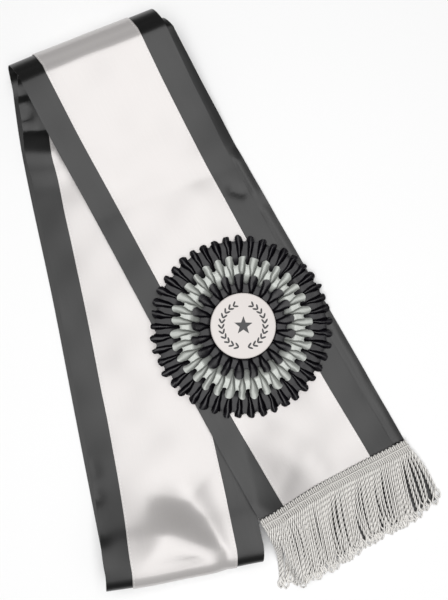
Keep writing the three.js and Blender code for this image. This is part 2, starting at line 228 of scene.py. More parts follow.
def read(rows, at):
    """The columns of a table at places along its first one, by a smooth curve through its rows."""
    rows = np.asarray(rows, float)
    key, value = rows[:, 0], rows[:, 1:]
    count = np.arange(len(rows))
    before, after = np.maximum(count - 1, 0), np.minimum(count + 1, len(rows) - 1)
    slope = (value[after] - value[before]) / (key[after] - key[before])[:, None]
    at = np.clip(at, key[0], key[-1])
    i = np.clip(np.searchsorted(key, at, side="right") - 1, 0, len(rows) - 2)
    step = (key[i + 1] - key[i])[..., None]
    t = (at - key[i])[..., None] / step
    line = value[i] + (value[i + 1] - value[i]) * ease(t)
    return line + t * (1 - t) * step * ((1 - t) * slope[i] - t * slope[i + 1])


def inside_fold(fold, x, y):
    n = math.radians(fold["normal"])
    return -((x - fold["x"]) * math.sin(n) + (y - fold["y"]) * math.cos(n))


def past_edge(x, y):
    """How far a place is to the right of limb D."""
    h = math.radians(D_EDGE["heading"])
    return (x - D_EDGE["x"]) * math.cos(h) + (y - D_EDGE["y"]) * math.sin(h)


def bottom_lift(x, y, distance):
    share = ease(1 + np.minimum(past_edge(x, y), 0) / TILT_REACH)
    return (1 + (RIGHT_EDGE_LIFT - 1) * share) * read(BOTTOM_RISE, distance)[..., 0]


def bridge(x, y, limb):
    edge = np.maximum(past_edge(x, y) - EDGE_MARGIN, 0)
    distance = np.maximum(inside_fold(BOTTOM_FOLD, x, y) + BRIDGE_BACK * edge, BRIDGE_FROM)
    gone = np.clip(edge / BRIDGE_REACH[limb], 0, 1)
    return bottom_lift(x, y, distance) * (1 - ease(gone) - BRIDGE_STRAIGHT * (gone - ease(gone)))


def height(limb, x, y):
    """The height of the middle of the charcoal ribbon's wall, in one limb."""
    edge = np.maximum(past_edge(x, y) - EDGE_MARGIN, 0)
    drape = TABLE_B + (FLAT_B - TABLE_B) * (1 - ease(edge / DROP_REACH))
    rise = read(TOP_RISE, inside_fold(TOP_FOLD, x, y))
    if limb == "a":
        pressed = PRESSED["slope"] * np.maximum(PRESSED["from"] - inside_fold(TOP_FOLD, x, y), 0)
        return drape + A_ABOVE_B + (1 + BRIDGE_PART) * bridge(x, y, "a") + rise[..., 0] - pressed
    if limb == "b":
        return drape + bridge(x, y, "b") + rise[..., 1]
    if limb == "d":
        return FLAT_D + bottom_lift(x, y, inside_fold(BOTTOM_FOLD, x, y)) + rise[..., 2]
    return np.full(np.shape(x), float(FLAT_C))


by_rosette = height("a", np.array(30.0), np.array(0.0))
print("limb A lies", round(float(by_rosette), 1), "mm up by the rosette")

# %% [markdown]
# ## Creases
# Satin keeps every place where it was pressed. Each crease is a row of the table: the limb it is on,
# its kind, and for each end of its line how wide it is and how far it stands up or sinks in. A round
# one falls off to both sides like a bell, a sharp one comes to an edge, and a step makes a slope
# steeper. All fade out at their ends. Over the whole cloth run a few long shallow waves, because no
# ribbon lies quite flat.

# %% Creases
# limb, kind, (x, y, half width, height) where it starts, and the same where it ends
CREASES = [
    ("d", "round", (-214, 141, 15, 6.0), (-176, 146, 15, 6.0)),
    ("d", "sharp", (-212, 173, 8, -4.5), (-180, 176, 8, -4.5)),
    ("d", "round", (-210, 200, 5, 2.0), (-205, 201, 5, 2.0)),
    ("d", "round", (-206, 186, 4, -1.8), (-200, 187, 4, -1.8)),
    ("d", "step", (2, -247, 6, 2.6), (-44, -212, 27, 9.6)),
    ("d", "round", (-131, -168, 6, -1.0), (-128, -172, 6, -1.0)),
    ("d", "round", (-127, -193, 6, -1.3), (-124, -196, 6, -1.3)),
    ("d", "round", (-120, -228, 8, -1.3), (-116, -230, 8, -1.3)),
    ("d", "round", (-134, -284, 24, -9.0), (-112, -288, 24, -9.0)),
    ("b", "round", (-40, 268, 11, -5.5), (14, 166, 11, -4.5)),
    ("b", "step", (12, 142, 4, 1.7), (29, 110, 4, 1.7)),
    ("a", "round", (8, 113, 5, -1.5), (18, 110, 5, -1.5)),
    ("b", "step", (40, 90, 5, 1.7), (174, -147, 6, 1.5)),
    ("a", "round", (92, -163, 9, 0.7), (99, -168, 9, 0.7)),
    ("a", "round", (58, -188, 8, 0.8), (64, -176, 8, 0.8)),
    ("a", "step", (40, -140, 14, 0.7), (62, -150, 14, 0.7)),
]
STEP_GAIN = 1.65
WAVES = [  # direction in degrees, length between crests, height
    (28, 61, 0.30), (95, 83, 0.30), (-40, 47, 0.21), (63, 37, 0.13),
]


def creases(limb, x, y):
    """How far the creases of one limb move its surface up at places on the table."""
    total = np.zeros(np.shape(x))
    for name, kind, (x0, y0, wide0, high0), (x1, y1, wide1, high1) in CREASES:
        if name != limb:
            continue
        run = math.hypot(x1 - x0, y1 - y0)
        ux, uy = (x1 - x0) / run, (y1 - y0) / run
        along = (x - x0) * ux + (y - y0) * uy
        beside = (y - y0) * ux - (x - x0) * uy
        past = np.maximum(np.maximum(-along, along - run), 0)
        gone = np.clip(along / run, 0, 1)
        wide, high = wide0 + (wide1 - wide0) * gone, high0 + (high1 - high0) * gone
        u = beside / wide
        if kind == "round":
            shape = np.exp(-u * u)
        elif kind == "sharp":
            shape = np.exp(-np.abs(u))
        else:  # a step: low on the right of its line, high on the left
            shape = STEP_GAIN * u * np.exp(-u * u)
        total += high * shape * np.exp(-((past / wide) ** 2))
    return total


def waves(x, y):
    total = np.zeros(np.shape(x))
    for degrees, length, high in WAVES:
        turn = math.radians(degrees)
        total += high * np.sin(2 * math.pi * (x * math.cos(turn) + y * math.sin(turn)) / length)
    return total


print(len(CREASES), "creases")

# %% [markdown]
# ## The strip as a grid of points
# The strip is cut into rows across the ribbon. Each limb gives its own rows, and at each folded end
# half an ellipse carries the rows round from one limb to the next. The charcoal ribbon and the white
# one share these rows, so they stay the seam's distance apart everywhere.

# %% The strip as a grid of points
ROW_STEP = 3.4
LOOP_ROWS = 22
BORDER_POINTS, MIDDLE_POINTS = 10, 31  # across a charcoal border, and across the white ribbon
border = np.linspace(CENTRE_WIDTH / 2, BACKING_WIDTH / 2, BORDER_POINTS)[1:]
STATIONS = np.concatenate([
    -border[::-1], np.linspace(-CENTRE_WIDTH / 2, CENTRE_WIDTH / 2, MIDDLE_POINTS), border])
CLOTH_SHARP = math.radians(50)  # an edge that turns by more than this is shown sharp


def limb_rows(limb, stations):
    """Points of one limb, row by row: the plan place and the height of each."""
    table = np.array(LIMBS[limb], float)
    gone = np.hypot(*np.diff(table[:, :2], axis=0).T)
    route = np.column_stack([np.concatenate([[0], np.cumsum(gone)]), table])
    length = route[-1, 0]
    s = np.linspace(0, length, int(length / ROW_STEP) + 1)
    middle = read(route, s)
    heading = read(route, s + 0.5)[:, :2] - read(route, s - 0.5)[:, :2]
    heading /= np.linalg.norm(heading, axis=1)[:, None]
    turn = np.radians(middle[:, 2])
    across = np.column_stack([np.cos(turn), np.sin(turn)])
    square = np.abs(across[:, 0] * heading[:, 1] - across[:, 1] * heading[:, 0])
    across /= square[:, None]
    plan = middle[:, None, :2] + stations[None, :, None] * across[:, None, :]
    x, y = plan[..., 0], plan[..., 1]
    z = height(limb, x, y) + creases(limb, x, y) + (waves(x, y) if limb != "c" else 0)
    z = np.maximum(z, TABLE_B)  # nothing goes through the table
    return np.dstack([x, y, z])


def loop_rows(start, end, fold, depth):
    """Half a rounded box from a limb's last row to the next one's first; square 2 is an ellipse."""
    n = math.radians(fold["normal"])
    outward = np.array([math.sin(n), math.cos(n), 0])
    power = 2 / fold["square"]
    rows = []
    for turn in np.linspace(0, math.pi, LOOP_ROWS + 1)[1:-1]:
        row = start + (end - start) * turn / math.pi
        share = (1 - math.copysign(abs(math.cos(turn)) ** power, math.cos(turn))) / 2
        row[:, 2] = start[:, 2] + (end[:, 2] - start[:, 2]) * share
        rows.append(row + outward * depth * math.sin(turn) ** power)
    return np.array(rows)


def strip(stations):
    """The guide surface of the whole sash, from the fringe end to the plain end."""
    a, c, d, b = (limb_rows(limb, stations) for limb in "acdb")
    return np.concatenate([
        a, loop_rows(a[-1], c[0], TOP_FOLD, TOP_FOLD["loop"]),
        c, loop_rows(c[-1], d[0], BOTTOM_FOLD, BOTTOM_FOLD["loop"]),
        d, loop_rows(d[-1], b[0], TOP_FOLD, INNER_LOOP), b,
    ])


def normals_of(rows):
    along, across = np.gradient(rows, axis=0), np.gradient(rows, axis=1)
    normal = np.cross(across, along)
    return normal / np.linalg.norm(normal, axis=2)[..., None]


def corner_vertices(mesh):
    """The vertex at each face corner of a mesh."""
    found = np.empty(len(mesh.loops), int)
    mesh.loops.foreach_get("vertex_index", found)
    return found


def cloth(name, rows, normals, wall, across, finish):
    """A closed wall between two offsets of a grid, with a UV map in metres of cloth."""
    deep, wide = rows.shape[:2]
    points = np.concatenate([(rows + normals * offset).reshape(-1, 3) for offset in wall])
    under = np.arange(deep * wide).reshape(deep, wide)
    over = under + deep * wide
    faces = []

    def quads(p, q, r, s):
        faces.extend(np.column_stack([v.ravel() for v in (p, q, r, s)]).tolist())

    quads(over[:-1, :-1], over[:-1, 1:], over[1:, 1:], over[1:, :-1])
    quads(under[:-1, :-1], under[1:, :-1], under[1:, 1:], under[:-1, 1:])
    quads(under[:-1, 0], over[:-1, 0], over[1:, 0], under[1:, 0])
    quads(under[:-1, -1], under[1:, -1], over[1:, -1], over[:-1, -1])
    quads(under[0, :-1], under[0, 1:], over[0, 1:], over[0, :-1])
    quads(under[-1, :-1], over[-1, :-1], over[-1, 1:], under[-1, 1:])
    made = mesh_object(name, (points + SHIFT) * MM, faces, finish)
    made.data.set_sharp_from_angle(angle=CLOTH_SHARP)
    middle = rows[:, wide // 2]
    along = np.concatenate([[0], np.cumsum(np.linalg.norm(np.diff(middle, axis=0), axis=1))])
    place = np.dstack(np.meshgrid(across, along)).reshape(-1, 2) * MM
    uv = np.concatenate([place, place])[corner_vertices(made.data)]
    made.data.uv_layers.new(name="cloth").data.foreach_set("uv", uv.ravel())
    return made, along[-1]


rows = strip(STATIONS)
print("the strip has", rows.shape[0], "rows of", rows.shape[1], "points")

# %% [markdown]
# ## Satin
# Satin is woven with its warp threads lying long and loose on the face, so it shines along them. The
# real thread is 0.15 mm, too fine to show from here, so the streaks are drawn 0.9 mm wide. A black
# satin is dark cloth under a clear gloss. A white one is part cloth, part mirror: that share is
# given as metallic, which is what lets it fall grey where it turns from the light.

# %% Satin
STREAK = {"wide": 0.9, "long": 45, "uneven": 0.05, "deep": 0.1}


def grained(tree, shader, where, scale, detail, strength, depth, tones=()):
    """Gives a shader a fine noise: as relief, its depth in millimetres, and between two tones."""
    noise = add(tree, "ShaderNodeTexNoise", {"Vector": where, "Scale": scale, "Detail": detail})
    relief = add(tree, "ShaderNodeBump", {
        "Height": noise, "Strength": strength, "Distance": depth * MM})
    tree.links.new(relief.outputs[0], shader.inputs["Normal"])
    if tones:
        deep, light = (linear(tone) for tone in tones)
        tint = add(tree, "ShaderNodeMix", {"Factor": noise, 6: deep, 7: light}, data_type="RGBA")
        tree.links.new(tint.outputs[2], shader.inputs["Base Color"])
    return noise


def satin(name, colour, deep_colour, metallic, roughness, bump, loop_dull=0.0, ior=1.5):
    """Satin whose streaks run along the ribbon, from the piece's own UV map in metres."""
    made, tree, shader = material(name, {"Metallic": metallic, "IOR": ior, "Anisotropic": 0.75})
    where = add(tree, "ShaderNodeUVMap", uv_map="cloth")
    stretch = add(tree, "ShaderNodeMapping", {
        "Vector": where, "Scale": (1000 / STREAK["wide"], 1000 / STREAK["long"], 1)})
    streaks = grained(tree, shader, stretch, 1, 3, bump, STREAK["deep"], (deep_colour, colour))
    dull = add(tree, "ShaderNodeMapRange", {
        "Value": streaks, "To Min": roughness - STREAK["uneven"],
        "To Max": roughness + STREAK["uneven"]})
    behind = add(tree, "ShaderNodeAttribute", attribute_name="loop")
    rough = add(tree, "ShaderNodeMath", {0: behind.outputs["Fac"], 1: loop_dull, 2: dull},
                operation="MULTIPLY_ADD")
    tree.links.new(rough.outputs[0], shader.inputs["Roughness"])
    across = add(tree, "ShaderNodeTangent", direction_type="UV_MAP", uv_map="cloth")
    tree.links.new(across.outputs[0], shader.inputs["Tangent"])
    return made


charcoal_satin = satin("charcoal_woven_satin", "121212", "0c0c0c", 0.0, 0.38, 0.25)
white_satin = satin("white_woven_satin", "c3bfbe", "bdbab8", 0.3, 0.34, 0.25)
print("two satins")

# %% [markdown]
# ## The two ribbons
# The charcoal ribbon is a thin closed wall on the guide surface, and the white one lies a seam's
# distance above it. The white ribbon starts a few rows in from the fringed end, under the tape.

# %% The two ribbons
BACKING_WALL, WHITE_WALL = (-0.3, 0.5), (0.8, 1.5)  # offsets from the guide surface
FIRST_WHITE_ROW = 4
normals = normals_of(rows)
backing, sash_length = cloth(
    "charcoal_ribbon", rows, normals, BACKING_WALL, STATIONS, charcoal_satin)
inner = np.abs(STATIONS) <= CENTRE_WIDTH / 2 + 0.01
white_rows, white_normals = rows[FIRST_WHITE_ROW:, inner], normals[FIRST_WHITE_ROW:, inner]
white, white_length = cloth(
    "white_ribbon", white_rows, white_normals, WHITE_WALL, STATIONS[inner], white_satin)
for piece, node, length, slot in (
    (backing, "backing_ribbon", sash_length, "charcoal_satin"),
    (white, "centre_ribbon", white_length, "white_satin"),
):
    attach(piece, "root")
    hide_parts(node)
    print(piece.name, "is", round(length), "mm long")

# %% [markdown]
# ## The rosette's place
# The rosette is pinned to limb A. Its pieces are drawn on a flat plane of their own and then tipped
# to the right with the cloth under them, by one matrix that all of them share.

# %% The rosette's place
ROSETTE = {"x": 17.6, "y": -27.5, "seat": 11.5, "seat_from": 5, "slope": 0.065}
heading = math.radians(D_EDGE["heading"])
past = past_edge(ROSETTE["x"], ROSETTE["y"]) - ROSETTE["seat_from"]
seat = Vector((ROSETTE["x"], ROSETTE["y"], ROSETTE["seat"] - ROSETTE["slope"] * past))
seat += Vector(SHIFT)
lean_axis = Vector((-math.sin(heading), math.cos(heading), 0))
lean = Matrix.Rotation(math.atan(ROSETTE["slope"]), 4, lean_axis)


def put_on_rosette(piece, place):
    """Moves a piece from its own plane to its place on the rosette."""
    aside = Vector((place["x"], place["y"], 0)) * MM
    piece.data.transform(Matrix.Translation(seat * MM) @ lean @ Matrix.Translation(aside))


print("rosette at", [round(v, 1) for v in seat])

# %% [markdown]
# ## One box pleat
# A pleat is a ribbon folded to a flat box on its front and a rounded loop behind it. Seen from above
# the front is lit, and the loop reaches further out, stays lower and falls dark. One pleat is drawn
# here as a grid: across it runs its share of the ring, from the middle of one loop to the middle of
# the next, and along it runs the ribbon's width, from the seam to the edge.

# %% One box pleat
TIERS = [
    {"name": "outer_ruffle", "node": "rosette_outer_ruffle", "pleats": 45, "x": 0, "y": 0,
     "inner": 60, "front": 86.6, "loop": 91.8, "seam_z": 2.6, "front_z": 8.2, "rises": 2.0,
     "loop_z": 5.0, "deep": 2.6, "tube": 4.6},
    {"name": "middle_ruffle", "node": "rosette_middle_ruffle", "pleats": 34, "x": -0.2, "y": -0.9,
     "inner": 42, "front": 63.0, "loop": 71.2, "seam_z": 5, "front_z": 12, "rises": 1.5,
     "loop_z": 11.9, "deep": 3.2, "tube": 2.8},
    {"name": "inner_ruffle", "node": "rosette_inner_ruffle", "pleats": 21, "x": 0.2, "y": 0,
     "inner": 26, "front": 44.2, "loop": 51.9, "seam_z": 5, "front_z": 13.4, "rises": 1.8,
     "loop_z": 15.4, "deep": 3.4, "tube": 3.0},
]
PLEAT = {"root_half": 0.44, "edge_half": 0.175, "narrows": 0.95, "tuck": 0.06, "untuck": 0.08,
         "untuck_from": 0.6, "tip_round": 3.2, "tip_fall": 1.2, "edge_fall": 0.5, "fall_from": 0.85,
         "crown": 0.4, "shoulder": 0.3, "scallop": 1.1,
         "front_steps": 6, "wall_steps": 3, "loop_steps": 8, "along": 18}
RUFFLE_WALL, RUFFLE_SHARP = 0.35, math.radians(42)


def pleat_mesh(tier):
    """One pleat round the ring's first place, as a grid in metres."""
    v = np.linspace(0, 1, PLEAT["along"] + 1)[:, None]
    narrowing = ease(v * PLEAT["narrows"])
    half = PLEAT["root_half"] + (PLEAT["edge_half"] - PLEAT["root_half"]) * narrowing
    opening = ease((v - PLEAT["untuck_from"]) / (1 - PLEAT["untuck_from"]))
    tucked = half - PLEAT["tuck"] * ease(v * 2) + PLEAT["untuck"] * opening
    fall = PLEAT["edge_fall"] * ease((v - PLEAT["fall_from"]) / (1 - PLEAT["fall_from"])) ** 2
    crest = tier["seam_z"] + (tier["front_z"] - tier["seam_z"]) * ease(v * tier["rises"] + 0.1)
    loop_top = crest - tier["deep"] + (tier["loop_z"] - crest + tier["deep"]) * v ** 2.2
    floor = loop_top - tier["tube"] * ease(v * 3) - 0.2
    columns = []  # share of the pitch, height, outer radius
    for q in np.linspace(0, 1, PLEAT["front_steps"] + 1) ** 0.6:
        high = crest + PLEAT["crown"] - PLEAT["shoulder"] * q ** 10 - fall
        edge = tier["front"] - PLEAT["scallop"] * (1 - q * q)
        columns.append((half * q, high, edge + 0 * v, 0 * v))
    side_end = tier["loop"] - PLEAT["tip_round"]
    for q in np.linspace(0, 1, PLEAT["wall_steps"] + 2)[1:-1]:
        low = crest - 0.1 + (floor - crest + 0.1) * q
        edge = tier["front"] + (side_end - tier["front"]) * q ** 2
        columns.append((half + (tucked - half) * ease(q), low, edge + 0 * v, q + 0 * v))
    for turn in np.linspace(0, math.pi / 2, PLEAT["loop_steps"] + 1):
        high = floor + (loop_top - floor - PLEAT["tip_fall"] * v ** 8) * math.sin(turn)
        edge = side_end + PLEAT["tip_round"] * math.sin(turn)
        columns.append((0.5 - (0.5 - tucked) * math.cos(turn), high, edge + 0 * v, 1 + 0 * v))
    mirrored = [(-share, z, edge, behind) for share, z, edge, behind in columns[:0:-1]]
    share, z, edge, behind = (np.hstack(part) for part in zip(*(mirrored + columns)))
    radius = tier["inner"] + (edge - tier["inner"]) * v
    turn = 2 * math.pi * share / tier["pleats"]
    points = np.dstack([radius * np.cos(turn), radius * np.sin(turn), z]).reshape(-1, 3)
    wide = share.shape[1]
    faces = [(i * wide + j, (i + 1) * wide + j, (i + 1) * wide + j + 1, i * wide + j + 1)
             for i in range(PLEAT["along"]) for j in range(wide - 1)]
    made = mesh_object(tier["name"], points * MM, faces)
    made.data.attributes.new("loop", "FLOAT", "POINT").data.foreach_set("value", behind.ravel())
    return made


# %% [markdown]
# ## A ring of pleats
# The same pleat repeats all the way round, so Geometry Nodes copy it. The copies are merged where
# they meet, and then a noise field moves them a little, each pleat its own way, because real pleats
# are folded by hand and lean on each other. The inner seam is sewn down, so the field starts there
# from nothing.

# %% A ring of pleats
def node_group(name, inputs):
    """An empty Geometry Nodes tree with named inputs, and the output sockets of its input node."""
    tree = bpy.data.node_groups.new(name, "GeometryNodeTree")
    tree.interface.new_socket("Geometry", in_out="INPUT", socket_type="NodeSocketGeometry")
    for socket, kind in inputs.items():
        tree.interface.new_socket(socket, in_out="INPUT", socket_type="NodeSocket" + kind)
    tree.interface.new_socket("Geometry", in_out="OUTPUT", socket_type="NodeSocketGeometry")
    return tree, add(tree, "NodeGroupInput").outputs


def close_group(tree, geometry, finish):
    """Ends a tree: its instances made real and smooth, with a finish on them."""
    real = add(tree, "GeometryNodeRealizeInstances", {"Geometry": geometry})
    smooth = add(tree, "GeometryNodeSetShadeSmooth", {"Geometry": real})
    painted = add(tree, "GeometryNodeSetMaterial", {"Geometry": smooth, "Material": finish})
    add(tree, "NodeGroupOutput", {"Geometry": painted})


def give_nodes(piece, tree, values):
    """Puts a tree on an object and sets the tree's named inputs."""
    modifier = piece.modifiers.new("nodes", "NODES")
    modifier.node_group = tree
    for socket in tree.interface.items_tree:
        if socket.in_out == "INPUT" and socket.name in values:
            modifier[socket.identifier] = values[socket.name]


def plain_mesh(piece):
    """The mesh that an object's modifiers make, as data without modifiers."""
    seen = piece.evaluated_get(bpy.context.evaluated_depsgraph_get())
    return bpy.data.meshes.new_from_object(seen)


def thicken(piece, wall, offset):
    """Turns a skin into a wall of a thickness in millimetres."""
    wall_of = piece.modifiers.new("wall", "SOLIDIFY")
    wall_of.thickness, wall_of.offset = wall * MM, offset
    made = plain_mesh(piece)
    piece.modifiers.clear()
    piece.data = made


MERGE = 0.05  # seams of neighbouring pleats closer than this become one
WANDER_SHARES = (1, 1, 0.3)  # pleats lean sideways more than they rise
ring, given = node_group("ring_of_pleats", {
    "Pleats": "Int", "Wander": "Float", "Cell": "Float", "Seam": "Float", "Edge": "Float",
    "Seed": "Float", "Finish": "Material",
})
places = add(ring, "GeometryNodePoints", {"Count": given["Pleats"]})
index = add(ring, "GeometryNodeInputIndex")
turns = add(ring, "ShaderNodeMath", {0: index, 1: given["Pleats"]}, operation="DIVIDE")
angle = add(ring, "ShaderNodeMath", {0: turns, 1: 2 * math.pi}, operation="MULTIPLY")
axis = add(ring, "ShaderNodeCombineXYZ", {"Z": angle})
turned = add(ring, "FunctionNodeEulerToRotation", {0: axis})
copies = add(ring, "GeometryNodeInstanceOnPoints", {
    "Points": places, "Instance": given["Geometry"], "Rotation": turned})
real = add(ring, "GeometryNodeRealizeInstances", {"Geometry": copies})
merged = add(ring, "GeometryNodeMergeByDistance", {"Geometry": real, "Distance": MERGE * MM})
here = add(ring, "GeometryNodeInputPosition")
per_metre = add(ring, "ShaderNodeMath", {0: 1, 1: given["Cell"]}, operation="DIVIDE")
noise = add(ring, "ShaderNodeTexNoise", {
    "Vector": here, "Scale": per_metre, "W": given["Seed"], "Detail": 1}, noise_dimensions="4D")
centred = add(ring, "ShaderNodeVectorMath", {0: noise.outputs["Color"], 1: (0.5, 0.5, 0.5)},
              operation="SUBTRACT")
distance = add(ring, "ShaderNodeVectorMath", {0: here}, operation="LENGTH")
share = add(ring, "ShaderNodeMapRange", {
    "Value": distance.outputs["Value"], "From Min": given["Seam"], "From Max": given["Edge"],
    "To Max": given["Wander"]})
sideways = add(ring, "ShaderNodeVectorMath", {0: centred, 1: WANDER_SHARES}, operation="MULTIPLY")
moved = add(ring, "ShaderNodeVectorMath", {0: sideways, "Scale": share}, operation="SCALE")
placed = add(ring, "GeometryNodeSetPosition", {"Geometry": merged, "Offset": moved})
close_group(ring, placed, given["Finish"])
print(ring.name, "has", len(ring.nodes), "nodes")

# %% [markdown]
# ## The three tiers
# Black, silver and black satin, each tier standing on the one below. The pleats shine round the ring
# as the ribbon's threads run, so each tier gets a UV map of its radius and its way round.

# %% The three tiers
black_satin = satin("black_woven_satin", "151318", "0d0c10", 0.0, 0.34, 0.2, -0.06, 1.39)
silver_satin = satin("silver_woven_satin", "a9aca7", "a0a39f", 0.34, 0.36, 0.2, 0.1)
WANDER, WANDER_CELL, WANDER_SEED = 7, 11, 3.0
tiers = []
for number, tier in enumerate(TIERS):
    piece = pleat_mesh(tier)
    finish = silver_satin if tier["name"] == "middle_ruffle" else black_satin
    give_nodes(piece, ring, {
        "Pleats": tier["pleats"], "Wander": WANDER * MM, "Cell": WANDER_CELL * MM,
        "Seam": tier["inner"] * MM, "Edge": tier["loop"] * MM, "Seed": WANDER_SEED + number,
        "Finish": finish,
    })
    thicken(piece, RUFFLE_WALL, 0.0)
    piece.data.set_sharp_from_angle(angle=RUFFLE_SHARP)
    x, y, _ = np.array([v.co for v in piece.data.vertices]).T
    corner = corner_vertices(piece.data)
    round_ring = np.arctan2(y, x)[corner].reshape(-1, 4)  # every face has four corners
    step = round_ring - round_ring[:, :1]
    round_ring = round_ring - 2 * math.pi * np.where(abs(step) > math.pi, np.sign(step), 0)
    uv = np.column_stack([np.hypot(x, y)[corner], round_ring.ravel() * tier["front"] * MM])
    piece.data.uv_layers.new(name="cloth").data.foreach_set("uv", uv.ravel())
    put_on_rosette(piece, tier)
    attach(piece, "root")
    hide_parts(tier["node"])
    area = sum(p.area for p in piece.data.polygons) / 2
    tiers.append((piece, tier, area))
    print(piece.name, len(piece.data.polygons), "faces,", round(area * 1e6), "mm2 of ribbon")

# %% [markdown]
# ## The disc
# A moulded button with a slightly domed face and a rounded rim covers the seam of the inner tier. It
# is turned like a bowl on a lathe from its half outline.

# %% The disc
DISC = {"radius": 32.5, "under": 12.7, "rim": 3, "crown": 4.4, "x": 0.4, "y": 0.6, "round": 1.3,
        "dome": 0.96, "sides": 128}  # the dome ends at this share of the radius
DOME_SHARES = (0.93, 0.88, 0.8, 0.68, 0.52, 0.35, 0.17)


def turned_mesh(name, profile, sides, finish):
    """A closed piece turned about Z from (radius, height) pairs that start and end on the axis."""
    rim = profile[1:-1]
    points = [(0, 0, profile[0][1])]
    for r, z in rim:
        points += [(r * math.cos(a), r * math.sin(a), z)
                   for a in np.linspace(0, 2 * math.pi, sides, False)]
    points.append((0, 0, profile[-1][1]))
    faces = []
    for j in range(sides):
        k = (j + 1) % sides
        faces.append((0, 1 + k, 1 + j))
        for i in range(len(rim) - 1):
            low, high = 1 + i * sides, 1 + (i + 1) * sides
            faces.append((low + j, low + k, high + k, high + j))
        last = 1 + (len(rim) - 1) * sides
        faces.append((len(points) - 1, last + j, last + k))
    return mesh_object(name, np.array(points) * MM, faces, finish)


def dome(share):
    """The height of the disc's face at a share of its radius."""
    rise = DISC["crown"] - DISC["rim"]
    return DISC["under"] + DISC["rim"] + rise * (1 - (share / DISC["dome"]) ** 2)


disc_paper, tree, shader = material("satin_printed_button_face", {
    "Base Color": linear("d9d3d0"), "Roughness": 0.5})
where = add(tree, "ShaderNodeTexCoord")
grained(tree, shader, where.outputs["Object"], 900, 2, 0.1, 0.1)
flat_to, half_rim = DISC["radius"] - DISC["round"], DISC["rim"] / 2
profile = [(0, DISC["under"]), (flat_to, DISC["under"])]
for a in np.linspace(-math.pi / 2, math.pi / 2, 9):
    profile.append((flat_to + DISC["round"] * math.cos(a),
                    DISC["under"] + half_rim * (1 + math.sin(a))))
profile += [(DISC["radius"] * share, dome(share)) for share in DOME_SHARES]
profile.append((0, DISC["under"] + DISC["crown"]))
disc = turned_mesh("button_disc", profile, DISC["sides"], disc_paper)
put_on_rosette(disc, DISC)
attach(disc, "root")
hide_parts("rosette_disc")
print(disc.name, len(disc.data.polygons), "faces")

# %% [markdown]
# ## A wreath and a star on the disc
# The face carries a plain print in dark grey: two laurel sprigs round a five-pointed star. A sprig
# is one leaf repeated in pairs along an arc, so Geometry Nodes lay it. The print has a little
# thickness, and it follows the dome of the face.

# %% A wreath and a star on the disc
WREATH = {"radius": 21.5, "from": -78, "to": 62, "leaves": 11, "spread": 34, "leaf": (5.4, 1.9)}
STAR = {"points": 5, "outer": 9.5, "inner": 3.9}
PRINT_THICK, PRINT_SUNK, PRINT_SHARP = 0.12, 0.03, math.radians(30)

ink, _, _ = material("dark_grey_screen_ink", {"Base Color": linear("3a3a3b"), "Roughness": 0.55})


def guide_curves(name, lines):
    """A curve object with one poly spline for each line of points in metres."""
    curve = bpy.data.curves.new(name, "CURVE")
    curve.dimensions = "3D"
    for line in lines:
        spline = curve.splines.new("POLY")
        spline.points.add(len(line) - 1)
        spline.points.foreach_set("co", np.column_stack([line, np.ones(len(line))]).ravel())
    return in_scene(name, curve)


def grown(name, lines, tree, values):
    """The mesh that a tree makes of guide lines, as plain data."""
    guide = guide_curves(name + "_guide", lines)
    give_nodes(guide, tree, values)
    mesh = plain_mesh(guide)
    bpy.data.objects.remove(guide)
    return mesh


long, wide = WREATH["leaf"]
bend = np.linspace(0, math.pi, 9)
edge = [(long * (1 - math.cos(t)) / 2, wide / 2 * math.sin(t) ** 0.8) for t in bend]
outline = np.array([(x, y, 0) for x, y in edge] + [(x, -y, 0) for x, y in edge[-2:0:-1]])
leaf = mesh_object("leaf", outline * MM, [tuple(range(len(outline)))[::-1]])

sprig, given = node_group("leaves_on_arc", {
    "Leaf": "Object", "Leaves": "Int", "Spread": "Float", "Finish": "Material"})
steps = add(sprig, "GeometryNodeResampleCurve", {
    "Curve": given["Geometry"], "Count": given["Leaves"]})
shape = add(sprig, "GeometryNodeObjectInfo", {"Object": given["Leaf"]})
ahead = add(sprig, "GeometryNodeInputTangent")
forward = add(sprig, "FunctionNodeAlignRotationToVector", {"Vector": ahead}, axis="X")
joined = add(sprig, "GeometryNodeJoinGeometry")
for side in (math.radians(1), math.radians(-1)):
    lean_by = add(sprig, "ShaderNodeMath", {0: given["Spread"], 1: side}, operation="MULTIPLY")
    about = add(sprig, "ShaderNodeCombineXYZ", {"Z": lean_by})
    opened = add(sprig, "FunctionNodeEulerToRotation", {0: about})
    facing = add(sprig, "FunctionNodeRotateRotation", {"Rotation": forward, "Rotate By": opened},
                 rotation_space="LOCAL")
    put = add(sprig, "GeometryNodeInstanceOnPoints", {
        "Points": steps, "Instance": shape.outputs["Geometry"], "Rotation": facing})
    sprig.links.new(put.outputs[0], joined.inputs[0])
close_group(sprig, joined, given["Finish"])

turns = np.radians(np.linspace(WREATH["from"], WREATH["to"], 40))
arc = np.column_stack([np.cos(turns), np.sin(turns), 0 * turns]) * WREATH["radius"] * MM
leaves = grown("printed_wreath", [arc, arc * (-1, 1, 1)], sprig, {
    "Leaf": leaf, "Leaves": WREATH["leaves"], "Spread": WREATH["spread"], "Finish": ink})
bpy.data.objects.remove(leaf)

